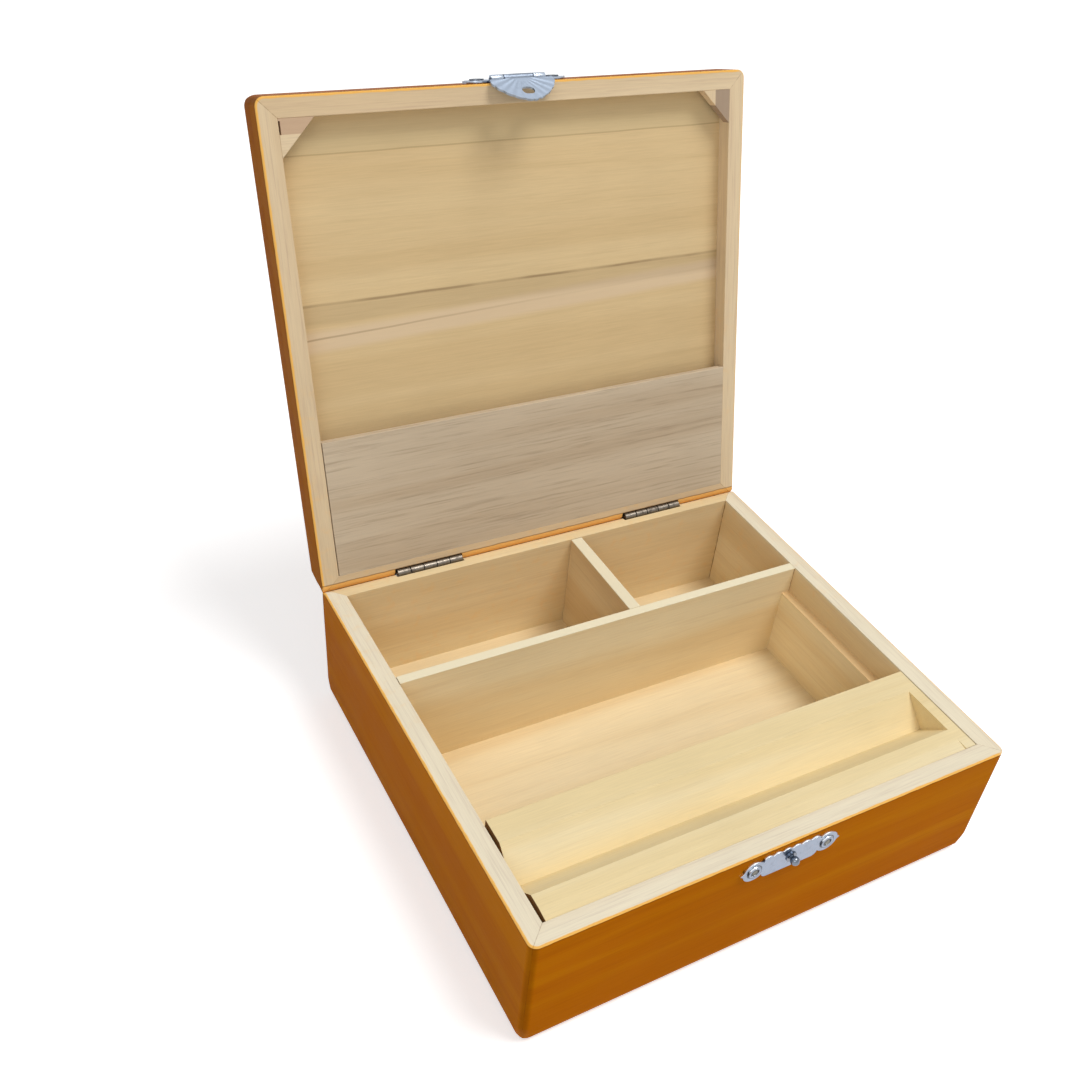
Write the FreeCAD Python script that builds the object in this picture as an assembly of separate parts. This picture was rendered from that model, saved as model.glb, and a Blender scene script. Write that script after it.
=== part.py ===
import FreeCAD, Part

import math
import os

Vector = FreeCAD.Vector

# Hinged lid box for papers and keepsakes, standing open.
# Millimetres. Origin at the centre of the underside, X to the right, Y to the back, Z up.
# The lid and its fittings are drawn shut and then turned back about the hinge axis.

# Case
case_width = 200.0
case_depth = 184.0
wall_height = 46.3
wall_thickness = 7.7
floor_thickness = 9.2
upright_corner_radius = 3.2
back_rim_corner_radius = 1.0
underside_corner_radius = 8.0
floor_edge_radius = 5.3
rim_edge_radius = 0.4
eased_edge = 0.3

# Dividers inside the case
cross_divider_thickness = 4.0
rear_divider_thickness = 5.2
rear_compartment_depth = 50.3
right_compartment_width = 77.3
divider_drop = 0.2
divider_end_gap = 0.3

# Tray, which slides on a ledge along each side wall
ledge_thickness = 4.0
tray_thickness = 12.8
tray_depth = 43.4
tray_back_rim = 10.5
trough_width = 22.5
trough_depth = 10.5
ramp_width = 5.1
ramp_drop = 0.6
tray_end_wall = 4.7
tray_gap_left = 1.4
tray_gap_right = 0.4
tray_gap_front = 0.15
tray_running_gap = 0.1

# Lid
lid_strip_height = 6.8
lid_strip_width = 7.1
lid_board_thickness = 9.2
lid_edge_radius = 3.0
lid_front_corner_radius = 5.0
lid_back_corner_radius = 8.0
lid_open_angle = 105.2
rim_gap = 0.1
pocket_board_depth = 55.5
pocket_board_thickness = 3.0
pocket_board_end_gap = 0.3
gusset_leg = 12.6
gusset_thickness = 4.0
gusset_slit_width = 0.6
gusset_slit_start = 0.8
gusset_slit_length = 4.4

# Butt hinges on the back
hinge_spacing = 108.8
hinge_length = 29.0
hinge_axis_inset = 2.1
hinge_stop_gap = 0.1
knuckle_count = 5
knuckle_gap = 0.4
barrel_radius = 1.8
barrel_notch_gap = 0.25
barrel_notch_end_gap = 0.5
hinge_pin_radius = 0.7
hinge_pin_gap = 0.05
leaf_thickness = 0.8
leaf_reach = 9.5
leaf_fold_gap = 0.6
leaf_nail_spacing = 18.0

# Nails
nail_head_height = 0.5
nail_head_radius = 1.3
nail_shank_radius = 0.6
nail_shank_length = 5.5
nail_hole_gap = 0.1

# Clasp plates, one on the case and one on the lid
clasp_offset = -0.5
clasp_plate_length = 42.4
clasp_plate_thickness = 1.0
clasp_bar_length = 24.0
clasp_bar_height = 10.4
clasp_bar_corner = 2.4
clasp_lobe_radius = 4.6
clasp_scallops = 6
clasp_scallop_rise = 0.7
clasp_nail_spacing = 31.0
clasp_ring_radius = 2.7
clasp_ring_height = 0.5
catch_drop = 7.0
hasp_rise = 6.6

# Stud on the catch plate
stud_stem_radius = 1.0
stud_ball_radius = 1.7
stud_ball_reach = 3.1
stud_flange_radius = 2.2
stud_flange_height = 0.4
stud_depth_in_wall = 5.0

# Hasp pivot and tongue
hasp_axis_standoff = 1.45
hasp_axis_rise = 1.3
hasp_barrel_radius = 1.4
hasp_pin_radius = 0.6
hasp_pin_gap = 0.05
hasp_knuckle_length = 4.8
hasp_knuckle_shift = -1.4
tongue_knuckle_length = 11.7
tongue_side_play = 0.35
tongue_turning_gap = 0.3
tongue_side_shift = -0.8
tongue_thickness = 0.8
tongue_plate_offset = 0.3
tongue_half_width = 12.8
tongue_shoulder_drop = 1.7
tongue_fan_drop = 2.8
tongue_fan_depth = 10.3
tongue_fan_power = 1.55
tongue_scallops = 10
tongue_scallop_rise = 0.45
tongue_slot_width = 5.0
tongue_slot_height = 3.7
tongue_rest_angle = 35.5

# Places worked out from the sizes
half_width = case_width / 2
half_depth = case_depth / 2
inner_half_width = half_width - wall_thickness
inner_half_depth = half_depth - wall_thickness
rim_z = floor_thickness + wall_height
cross_divider_back_y = inner_half_depth - rear_compartment_depth
cross_divider_front_y = cross_divider_back_y - cross_divider_thickness
rear_divider_right_x = inner_half_width - right_compartment_width
divider_top_z = rim_z - divider_drop
tray_top_z = divider_top_z
tray_bottom_z = tray_top_z - tray_thickness
ledge_top_z = tray_bottom_z - tray_running_gap
tray_front_y = -inner_half_depth + tray_gap_front
lid_rim_z = rim_z + rim_gap
lid_board_z = lid_rim_z + lid_strip_height
lid_top_z = lid_board_z + lid_board_thickness
lid_inner_half_width = half_width - lid_strip_width
lid_inner_half_depth = half_depth - lid_strip_width
hinge_axis = Vector(0, half_depth - hinge_axis_inset, rim_z + rim_gap / 2)
clasp_nail_x = clasp_nail_spacing / 2
catch_z = rim_z - catch_drop
hasp_axis = Vector(0, -half_depth - hasp_axis_standoff, lid_rim_z + hasp_axis_rise)
hasp_plate_z = lid_rim_z + hasp_rise
knuckle_x = clasp_offset + hasp_knuckle_shift
tongue_centre_x = clasp_offset + tongue_side_shift
tongue_slot_drop = hasp_axis.z - catch_z

# The upright corners are rounder towards the underside and towards the lid's top. Each pair
# holds the front corners' radius and the back corners' radius at one level.
underside_corners = (underside_corner_radius, underside_corner_radius)
floor_top_corners = (upright_corner_radius, upright_corner_radius)
rim_corners = (upright_corner_radius, back_rim_corner_radius)
lid_top_corners = (lid_front_corner_radius, lid_back_corner_radius)
strip_share = lid_strip_height / (lid_strip_height + lid_board_thickness)
lid_board_corners = tuple(
    at_rim + (at_top - at_rim) * strip_share for at_rim, at_top in zip(rim_corners, lid_top_corners)
)

# The flat part of a hinge leaf starts where two folded leaves still clear each other.
half_open = math.radians(lid_open_angle / 2)
leaf_start = hinge_axis_inset * math.tan(half_open) + leaf_fold_gap

# The rounded back edges of case and lid meet, but for the stop gap, when the lid is fully open.
seam_edge_radius = (
    hinge_axis_inset * math.sin(half_open)
    - rim_gap / 2 * math.cos(half_open)
    + hinge_stop_gap / 2
) / (math.cos(half_open) + math.sin(half_open) - 1)
seam_edge_radius = min(seam_edge_radius, wall_thickness, lid_strip_width, lid_strip_height)


def box(x_low, x_high, y_low, y_high, z_low, z_high):
    corner = Vector(x_low, y_low, z_low)
    return Part.makeBox(x_high - x_low, y_high - y_low, z_high - z_low, corner)


def prism(corners, travel):
    """A straight-sided outline, carried along the travel vector."""
    outline = Part.makePolygon(corners + [corners[0]])
    return Part.Face(outline).extrude(travel)


def rounded(shape, radius, spots):
    """Round the edge that lies nearest to each spot."""
    edges = []
    for spot in spots:
        vertex = Part.Vertex(spot)
        edges.append(min(shape.Edges, key=lambda edge: edge.distToShape(vertex)[0]))
    return shape.makeFillet(radius, edges)


def rod_along_x(radius, x_low, x_high, centre):
    start = Vector(x_low, centre.y, centre.z)
    return Part.makeCylinder(radius, x_high - x_low, start, Vector(1, 0, 0))


def footprint(z_low, z_high, low_corners, high_corners):
    """The outer plan of the box. Its upright corners change radius from the low to the high end."""
    block = box(-half_width, half_width, -half_depth, half_depth, z_low, z_high)
    z_middle = (z_low + z_high) / 2
    for y, low_radius, high_radius in zip((-half_depth, half_depth), low_corners, high_corners):
        for x in (-half_width, half_width):
            corner = Part.Vertex(x, y, z_middle)
            edge = min(block.Edges, key=lambda edge: edge.distToShape(corner)[0])
            block = block.makeFillet(low_radius, high_radius, [edge])
    return block


def outer_board(z_low, z_high, low_corners, high_corners, edge_z, edge_radius):
    """A full-size board with its outer edges rounded at the level edge_z."""
    block = box(-half_width, half_width, -half_depth, half_depth, z_low, z_high)
    front_and_back = [Vector(0, -half_depth, edge_z), Vector(0, half_depth, edge_z)]
    left_and_right = [Vector(-half_width, 0, edge_z), Vector(half_width, 0, edge_z)]
    board = rounded(block, edge_radius, front_and_back)
    board = board.common(rounded(block, edge_radius, left_and_right))
    return board.common(footprint(z_low, z_high, low_corners, high_corners))


def seam_cutter():
    """What is cut from the case to round its whole upper back edge."""
    middle_y = half_depth - seam_edge_radius
    middle_z = rim_z - seam_edge_radius
    over = rim_gap / 2
    corner = box(-half_width, half_width, middle_y, half_depth + over, middle_z, rim_z + over)
    rounding = rod_along_x(seam_edge_radius, -half_width, half_width, Vector(0, middle_y, middle_z))
    return corner.cut(rounding)


def mitred_side(turn, thickness, plan, z_low, z_high, open_z):
    """One side of a frame, cut from its plan with a mitre at both ends. Turn 0 is the front."""
    half_run = half_width if turn in (0, 180) else half_depth
    reach = half_depth if turn in (0, 180) else half_width
    mitre = prism(
        [
            Vector(-half_run - thickness, -reach - thickness, z_low - thickness),
            Vector(half_run + thickness, -reach - thickness, z_low - thickness),
            Vector(half_run - thickness, thickness - reach, z_low - thickness),
            Vector(thickness - half_run, thickness - reach, z_low - thickness),
        ],
        Vector(0, 0, z_high - z_low + 2 * thickness),
    )
    upright = Vector(0, 0, 1)
    side = plan.common(mitre.rotated(Vector(), upright, turn)).rotated(Vector(), upright, -turn)
    if turn != 180:
        side = rounded(side, rim_edge_radius, [Vector(0, -reach, open_z)])
    side = rounded(side, eased_edge, [Vector(0, thickness - reach, open_z)])
    return side.rotated(Vector(), upright, turn)


def swung_open(shape):
    """Turn a piece of the shut lid back to where it rests open."""
    return shape.rotated(hinge_axis, Vector(1, 0, 0), -lid_open_angle)


def turned_over(shape):
    """Mirror a case-side hinge shape to the lid's side of the joint."""
    return shape.mirror(hinge_axis, Vector(0, 0, 1))


def nail(head_seat, inward):
    """A round-headed nail. The underside of its head sits at head_seat."""
    outward = -inward
    head = Part.makeCylinder(nail_head_radius, nail_head_height, head_seat, outward)
    crown = head_seat + outward * nail_head_height + Vector(nail_head_radius, 0, 0)
    head = rounded(head, nail_head_height * 0.8, [crown])
    shank = Part.makeCylinder(nail_shank_radius, nail_shank_length, head_seat, inward)
    return head.fuse(shank).removeSplitter()


def nail_hole(head_seat, inward, depth):
    return Part.makeCylinder(nail_shank_radius + nail_hole_gap, depth, head_seat, inward)


# Hinges. Each is drawn on the case side; the lid side is its mirror about the axis level.
def hinge_centres():
    return [-hinge_spacing / 2, hinge_spacing / 2]


def leaf_nail_seats(centre_x):
    z = hinge_axis.z - (leaf_start + leaf_reach) / 2
    offsets = (-leaf_nail_spacing / 2, leaf_nail_spacing / 2)
    return [Vector(centre_x + offset, half_depth, z) for offset in offsets]


def hinge_leaf(centre_x, first_knuckle):
    """A leaf with every second knuckle, counted from first_knuckle."""
    left_x = centre_x - hinge_length / 2
    pitch = hinge_length / knuckle_count
    inner_y = half_depth - leaf_thickness
    flap_top_z = hinge_axis.z - leaf_start
    flap_low_z = hinge_axis.z - leaf_reach
    leaf = box(left_x, left_x + hinge_length, inner_y, half_depth, flap_low_z, flap_top_z)
    barrel_touch_z = hinge_axis.z - barrel_radius * 0.8
    for knuckle in range(first_knuckle, knuckle_count, 2):
        start_x = left_x + knuckle * pitch + knuckle_gap / 2
        end_x = left_x + (knuckle + 1) * pitch - knuckle_gap / 2
        neck = prism(
            [
                Vector(start_x, half_depth, flap_top_z),
                Vector(start_x, inner_y, flap_top_z),
                Vector(start_x, hinge_axis.y - leaf_thickness / 2, barrel_touch_z),
                Vector(start_x, hinge_axis.y + leaf_thickness / 2, barrel_touch_z),
            ],
            Vector(end_x - start_x, 0, 0),
        )
        leaf = leaf.fuse([neck, rod_along_x(barrel_radius, start_x, end_x, hinge_axis)])
    bore_radius = hinge_pin_radius + hinge_pin_gap
    leaf = leaf.cut(rod_along_x(bore_radius, left_x, left_x + hinge_length, hinge_axis))
    for seat in leaf_nail_seats(centre_x):
        leaf = leaf.cut(nail_hole(seat, Vector(0, -1, 0), leaf_thickness))
    return leaf.removeSplitter()


def hinge_pin(centre_x):
    half_length = hinge_length / 2
    return rod_along_x(hinge_pin_radius, centre_x - half_length, centre_x + half_length, hinge_axis)


def hinge_recess(centre_x):
    """What is cut from the wood for one leaf and for half of the barrel."""
    notch_radius = barrel_radius + barrel_notch_gap
    notch_half_length = hinge_length / 2 + barrel_notch_end_gap
    flap_top_z = hinge_axis.z - leaf_start
    notch_front_y = hinge_axis.y - notch_radius
    notch_top_z = hinge_axis.z + notch_radius
    left_x = centre_x - notch_half_length
    notch = prism(
        [
            Vector(left_x, notch_front_y, notch_top_z),
            Vector(left_x, notch_front_y, hinge_axis.z - notch_radius),
            Vector(left_x, half_depth - leaf_thickness, flap_top_z),
            Vector(left_x, half_depth, flap_top_z),
            Vector(left_x, half_depth, notch_top_z),
        ],
        Vector(2 * notch_half_length, 0, 0),
    )
    flap_seat = box(
        centre_x - hinge_length / 2,
        centre_x + hinge_length / 2,
        half_depth - leaf_thickness,
        half_depth,
        hinge_axis.z - leaf_reach,
        flap_top_z,
    )
    return notch.fuse(flap_seat)


def hinge_nails():
    nails = []
    for centre_x in hinge_centres():
        for seat in leaf_nail_seats(centre_x):
            nails.append(nail(seat, Vector(0, -1, 0)))
    return nails


def hinge_cutters():
    return [hinge_recess(centre_x) for centre_x in hinge_centres()] + hinge_nails()


# Clasp
def scallops(points, rise):
    """Arcs from point to point in the X-Z plane, each bulging to the right of the walk."""
    arcs = []
    for start, end in zip(points, points[1:]):
        chord = end - start
        outward = Vector(chord.z, 0, -chord.x).normalize()
        arcs.append(Part.Arc(start, (start + end) / 2 + outward * rise, end).toShape())
    return arcs


def scalloped_bar(length, height, count, rise, corner):
    """A bar centred on the origin, thickness towards -Y, scalloped above and rounded below."""
    half_length = length / 2
    half_height = height / 2
    steps = [half_length - length * step / count for step in range(count + 1)]
    top = scallops([Vector(x, 0, half_height - rise) for x in steps], rise)
    flat_half = half_length - corner
    arc_start_z = corner - half_height
    bulge = corner * (1 - math.sqrt(0.5))
    low_corners = []
    for side in (-1, 1):
        low = Vector(side * flat_half, 0, -half_height)
        middle = Vector(side * (half_length - bulge), 0, bulge - half_height)
        high = Vector(side * half_length, 0, arc_start_z)
        low_corners.append(Part.Arc(low, middle, high).toShape())
    edges = [
        Part.makeLine(Vector(-flat_half, 0, -half_height), Vector(flat_half, 0, -half_height)),
        low_corners[1],
        Part.makeLine(
            Vector(half_length, 0, arc_start_z), Vector(half_length, 0, half_height - rise)
        ),
        *top,
        Part.makeLine(
            Vector(-half_length, 0, half_height - rise), Vector(-half_length, 0, arc_start_z)
        ),
        low_corners[0],
    ]
    return Part.Face(Part.Wire(edges)).extrude(Vector(0, -clasp_plate_thickness, 0))


def clasp_nail_seats(centre):
    seat_y = centre.y - clasp_plate_thickness
    return [Vector(centre.x + side * clasp_nail_x, seat_y, centre.z) for side in (-1, 1)]


def clasp_plate(centre):
    """A scalloped bar that ends in a round lobe with a pointed tip, and a ring for each nail."""
    plate = scalloped_bar(
        clasp_bar_length,
        clasp_bar_height,
        clasp_scallops,
        clasp_scallop_rise,
        clasp_bar_corner,
    )
    thickness = Vector(0, -clasp_plate_thickness, 0)
    for side in (-1, 1):
        lobe_centre = Vector(side * clasp_nail_x, 0, 0)
        lobe = Part.makeCylinder(clasp_lobe_radius, clasp_plate_thickness, lobe_centre, thickness)
        tip_x = side * clasp_plate_length / 2
        tip = prism(
            [
                lobe_centre + Vector(0, 0, clasp_lobe_radius),
                Vector(tip_x, 0, 0),
                lobe_centre - Vector(0, 0, clasp_lobe_radius),
            ],
            thickness,
        )
        ring_height = clasp_plate_thickness + clasp_ring_height
        ring = Part.makeCylinder(clasp_ring_radius, ring_height, lobe_centre, thickness)
        plate = plate.fuse([lobe, tip, ring])
    plate = plate.removeSplitter()
    for side in (-1, 1):
        lobe_centre = Vector(side * clasp_nail_x, 0, 0)
        head_seat = lobe_centre + thickness
        head_room = nail_head_radius + nail_hole_gap
        plate = plate.cut(Part.makeCylinder(head_room, clasp_ring_height, head_seat, thickness))
        plate = plate.cut(nail_hole(head_seat, Vector(0, 1, 0), clasp_plate_thickness))
    return plate.translated(centre)


def clasp_nails(centre):
    return [nail(seat, Vector(0, 1, 0)) for seat in clasp_nail_seats(centre)]


def catch_centre():
    return Vector(clasp_offset, -half_depth, catch_z)


def hasp_centre():
    return Vector(clasp_offset, -half_depth, hasp_plate_z)


def catch_stud():
    """A stem through the plate into the wall, a flange on the plate and a ball end."""
    centre = catch_centre()
    ball_centre = centre - Vector(0, stud_ball_reach, 0)
    stem_start = centre + Vector(0, stud_depth_in_wall, 0)
    stem_length = stud_depth_in_wall + stud_ball_reach
    outward = Vector(0, -1, 0)
    stem = Part.makeCylinder(stud_stem_radius, stem_length, stem_start, outward)
    flange_start = centre - Vector(0, clasp_plate_thickness, 0)
    flange = Part.makeCylinder(stud_flange_radius, stud_flange_height, flange_start, outward)
    ball = Part.makeSphere(stud_ball_radius, ball_centre)
    return stem.fuse([flange, ball]).removeSplitter()


def catch_plate():
    return clasp_plate(catch_centre()).cut(catch_stud())


def hasp_knuckle_spans():
    inner = tongue_knuckle_length / 2 + tongue_side_play
    outer = inner + hasp_knuckle_length
    return [(knuckle_x - outer, knuckle_x - inner), (knuckle_x + inner, knuckle_x + outer)]


def hasp_plate():
    """The lid's clasp plate, with the two outer knuckles of the hasp and room for its tongue."""
    plate = clasp_plate(hasp_centre())
    front_y = -half_depth - clasp_plate_thickness
    left_span, right_span = hasp_knuckle_spans()
    turning_radius = hasp_barrel_radius + tongue_turning_gap
    plate = plate.cut(rod_along_x(turning_radius, left_span[1], right_span[0], hasp_axis))
    for low_x, high_x in (left_span, right_span):
        web_top_z = hasp_plate_z - clasp_bar_height / 2 + clasp_plate_thickness
        back_y = hasp_axis.y + hasp_barrel_radius
        web = box(low_x, high_x, front_y, back_y, hasp_axis.z, web_top_z)
        plate = plate.fuse([web, rod_along_x(hasp_barrel_radius, low_x, high_x, hasp_axis)])
    bore = rod_along_x(hasp_pin_radius + hasp_pin_gap, -half_width, half_width, hasp_axis)
    return plate.cut(bore).removeSplitter()


def hasp_pin():
    spans = hasp_knuckle_spans()
    return rod_along_x(hasp_pin_radius, spans[0][0], spans[1][1], hasp_axis)


def hasp_tongue():
    """A fan-shaped tongue with a scalloped edge, drawn hanging straight down from its knuckle."""
    centre = Vector(tongue_centre_x, hasp_axis.y - tongue_plate_offset, hasp_axis.z)
    fan = []
    for step in range(tongue_scallops + 1):
        angle = math.pi * step / tongue_scallops
        across = abs(math.cos(angle)) ** (2 / tongue_fan_power)
        down = abs(math.sin(angle)) ** (2 / tongue_fan_power)
        x = -math.copysign(tongue_half_width * across, math.cos(angle))
        fan.append(centre + Vector(x, 0, -tongue_fan_drop - tongue_fan_depth * down))
    shoulder_right = centre + Vector(tongue_half_width, 0, -tongue_shoulder_drop)
    shoulder_left = centre + Vector(-tongue_half_width, 0, -tongue_shoulder_drop)
    edges = [
        *scallops(fan, tongue_scallop_rise),
        Part.makeLine(fan[-1], shoulder_right),
        Part.makeLine(shoulder_right, shoulder_left),
        Part.makeLine(shoulder_left, fan[0]),
    ]
    plate = Part.Face(Part.Wire(edges)).extrude(Vector(0, -tongue_thickness, 0))
    half_knuckle = tongue_knuckle_length / 2
    low_x = knuckle_x - half_knuckle
    high_x = knuckle_x + half_knuckle
    neck_low_z = centre.z - tongue_shoulder_drop
    neck = box(low_x, high_x, centre.y - tongue_thickness, centre.y, neck_low_z, centre.z)
    tongue = plate.fuse([neck, rod_along_x(hasp_barrel_radius, low_x, high_x, hasp_axis)])
    bore_radius = hasp_pin_radius + hasp_pin_gap
    tongue = tongue.cut(rod_along_x(bore_radius, low_x, high_x, hasp_axis))
    return tongue.cut(tongue_slot(centre)).removeSplitter()


def tongue_slot(centre):
    """The round-ended slot that goes over the stud when the box is shut."""
    end_radius = tongue_slot_height / 2
    end_offset = tongue_slot_width / 2 - end_radius
    start_y = centre.y
    slot_z = centre.z - tongue_slot_drop
    through = Vector(0, -tongue_thickness, 0)
    slot = box(
        centre.x - end_offset,
        centre.x + end_offset,
        start_y - tongue_thickness,
        start_y,
        slot_z - end_radius,
        slot_z + end_radius,
    )
    for side in (-1, 1):
        end_centre = Vector(centre.x + side * end_offset, start_y, slot_z)
        slot = slot.fuse(Part.makeCylinder(end_radius, tongue_thickness, end_centre, through))
    return slot


# Case pieces
def case_floor():
    return outer_board(
        0, floor_thickness, underside_corners, floor_top_corners, 0, floor_edge_radius
    )


def case_wall(turn):
    plan = footprint(floor_thickness, rim_z, floor_top_corners, rim_corners)
    wall = mitred_side(turn, wall_thickness, plan, floor_thickness, rim_z, rim_z)
    return wall.cut(seam_cutter())


def front_wall():
    return case_wall(0).cut(clasp_nails(catch_centre()) + [catch_stud()])


def back_wall():
    return case_wall(180).cut(hinge_cutters())


def cross_divider():
    divider = box(
        divider_end_gap - inner_half_width,
        inner_half_width,
        cross_divider_front_y,
        cross_divider_back_y,
        floor_thickness,
        divider_top_z,
    )
    top_edges = [Vector(0, y, divider_top_z) for y in (cross_divider_front_y, cross_divider_back_y)]
    return rounded(divider, eased_edge, top_edges)


def rear_divider():
    low_x = rear_divider_right_x - rear_divider_thickness
    back_y = inner_half_depth - divider_end_gap
    divider = box(
        low_x,
        rear_divider_right_x,
        cross_divider_back_y,
        back_y,
        floor_thickness,
        divider_top_z,
    )
    middle_y = (cross_divider_back_y + back_y) / 2
    top_edges = [Vector(x, middle_y, divider_top_z) for x in (low_x, rear_divider_right_x)]
    return rounded(divider, eased_edge, top_edges)


def tray_ledge(side):
    """A thin upright board against a side wall. Side is -1 on the left and 1 on the right."""
    wall_x = side * inner_half_width
    inner_x = side * (inner_half_width - ledge_thickness)
    ledge = box(
        min(wall_x, inner_x),
        max(wall_x, inner_x),
        -inner_half_depth,
        cross_divider_front_y,
        floor_thickness,
        ledge_top_z,
    )
    return rounded(ledge, eased_edge, [Vector(inner_x, 0, ledge_top_z)])


def tray():
    """One block with a V trough and a shallow front ramp, both open at the left end."""
    left_x = tray_gap_left - inner_half_width
    right_x = inner_half_width - tray_gap_right
    end_x = right_x - tray_end_wall
    back_y = tray_front_y + tray_depth
    trough_back_y = back_y - tray_back_rim
    trough_front_y = trough_back_y - trough_width
    trough_middle_y = (trough_back_y + trough_front_y) / 2
    block = box(left_x, right_x, tray_front_y, back_y, tray_bottom_z, tray_top_z)
    block = rounded(block, eased_edge, [Vector(0, back_y, tray_top_z)])
    trough = prism(
        [
            Vector(left_x, trough_back_y, tray_top_z),
            Vector(left_x, trough_front_y, tray_top_z),
            Vector(left_x, trough_middle_y, tray_top_z - trough_depth),
        ],
        Vector(end_x - left_x, 0, 0),
    )
    ramp = prism(
        [
            Vector(left_x, tray_front_y, tray_top_z),
            Vector(left_x, tray_front_y + ramp_width, tray_top_z),
            Vector(left_x, tray_front_y, tray_top_z - ramp_drop),
        ],
        Vector(end_x - left_x, 0, 0),
    )
    return block.cut([trough, ramp])


# Lid pieces, drawn shut
def lid_panel():
    board = outer_board(
        lid_board_z, lid_top_z, lid_board_corners, lid_top_corners, lid_top_z, lid_edge_radius
    )
    hinge_side = [turned_over(cutter) for cutter in hinge_cutters()]
    return board.cut(hinge_side + clasp_nails(hasp_centre()))


def lid_strip(turn):
    plan = footprint(lid_rim_z, lid_board_z, rim_corners, lid_board_corners)
    strip = mitred_side(turn, lid_strip_width, plan, lid_rim_z, lid_board_z, lid_rim_z)
    strip = strip.cut(turned_over(seam_cutter()))
    if turn == 180:
        strip = strip.cut([turned_over(cutter) for cutter in hinge_cutters()])
    if turn == 0:
        strip = strip.cut(clasp_nails(hasp_centre()))
    return strip


def pocket_board():
    """The board across the back of the lid, flush with its rim, that closes off the pocket."""
    front_y = lid_inner_half_depth - pocket_board_depth
    board = box(
        pocket_board_end_gap - lid_inner_half_width,
        lid_inner_half_width,
        front_y,
        lid_inner_half_depth,
        lid_rim_z,
        lid_rim_z + pocket_board_thickness,
    )
    return rounded(board, eased_edge, [Vector(0, front_y, lid_rim_z)])


def gusset(side):
    """A three-cornered block in a front corner of the lid. The left one has a slit at its end."""
    corner = Vector(side * lid_inner_half_width, -lid_inner_half_depth, lid_rim_z)
    block = prism(
        [
            corner,
            corner - Vector(side * gusset_leg, 0, 0),
            corner + Vector(0, gusset_leg, 0),
        ],
        Vector(0, 0, gusset_thickness),
    )
    if side > 0:
        return block
    slit_y = corner.y + gusset_slit_start
    slit = box(
        corner.x,
        corner.x + gusset_slit_width,
        slit_y,
        slit_y + gusset_slit_length,
        corner.z,
        corner.z + gusset_thickness,
    )
    return block.cut(slit)


def write(name, shapes):
    """Write one sub-part, a single solid or a group of like solids."""
    solids = []
    for shape in shapes:
        if not shape.isValid():
            raise ValueError(name + " is not a valid shape")
        solids.extend(shape.Solids)
    kept = solids[0] if len(solids) == 1 else Part.makeCompound(solids)
    kept.exportStep(os.path.join("parts", name + ".step"))
    print(name, len(solids), round(sum(solid.Volume for solid in solids), 2))


def case_pieces():
    left_hinge, right_hinge = hinge_centres()
    return {
        "case_floor": [case_floor()],
        "case_front_wall": [front_wall()],
        "case_right_wall": [case_wall(90)],
        "case_back_wall": [back_wall()],
        "case_left_wall": [case_wall(270)],
        "cross_divider": [cross_divider()],
        "rear_divider": [rear_divider()],
        "tray_ledge_left": [tray_ledge(-1)],
        "tray_ledge_right": [tray_ledge(1)],
        "catch_plate": [catch_plate()],
        "catch_stud": [catch_stud()],
        "catch_nails": clasp_nails(catch_centre()),
        "hinge_case_leaf_left": [hinge_leaf(left_hinge, 0)],
        "hinge_case_leaf_right": [hinge_leaf(right_hinge, 0)],
        "hinge_pin_left": [hinge_pin(left_hinge)],
        "hinge_pin_right": [hinge_pin(right_hinge)],
        "hinge_case_nails": hinge_nails(),
        "tray": [tray()],
    }


def lid_pieces():
    left_hinge, right_hinge = hinge_centres()
    return {
        "lid_panel": [lid_panel()],
        "lid_front_strip": [lid_strip(0)],
        "lid_right_strip": [lid_strip(90)],
        "lid_back_strip": [lid_strip(180)],
        "lid_left_strip": [lid_strip(270)],
        "lid_pocket_board": [pocket_board()],
        "lid_gusset_left": [gusset(-1)],
        "lid_gusset_right": [gusset(1)],
        "hinge_lid_leaf_left": [turned_over(hinge_leaf(left_hinge, 1))],
        "hinge_lid_leaf_right": [turned_over(hinge_leaf(right_hinge, 1))],
        "hinge_lid_nails": [turned_over(shape) for shape in hinge_nails()],
        "hasp_plate": [hasp_plate()],
        "hasp_pin": [hasp_pin()],
        "hasp_nails": clasp_nails(hasp_centre()),
        "hasp_tongue": [hasp_tongue().rotated(hasp_axis, Vector(1, 0, 0), tongue_rest_angle)],
    }


os.makedirs("parts", exist_ok=True)
for piece_name, piece_shapes in case_pieces().items():
    write(piece_name, piece_shapes)
for piece_name, piece_shapes in lid_pieces().items():
    write(piece_name, [swung_open(shape) for shape in piece_shapes])

open_hasp_axis = Part.Vertex(hasp_axis).rotated(hinge_axis, Vector(1, 0, 0), -lid_open_angle)
print("hinge axis", hinge_axis, "seam edge radius", seam_edge_radius)
print("hasp axis with the lid open", open_hasp_axis.Point)
print("tray travel", cross_divider_front_y - (tray_front_y + tray_depth))
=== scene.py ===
import bpy
import math
from mathutils import Matrix, Vector

# Hinged lid box, standing open. Metres, in the CAD model's own frame:
# X to the right, Y to the back, Z up, origin at the centre of the underside.
# In the values below, a pair for an edge, a place, an inset or a depth says where a mask is 0
# and where it is 1, and a pair of tones, shades, shares or noise values is a range. A line is
# its middle, its half width and its soft edge. A bump is its strength and its height, and a
# wander is its noise scale and its reach.

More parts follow.
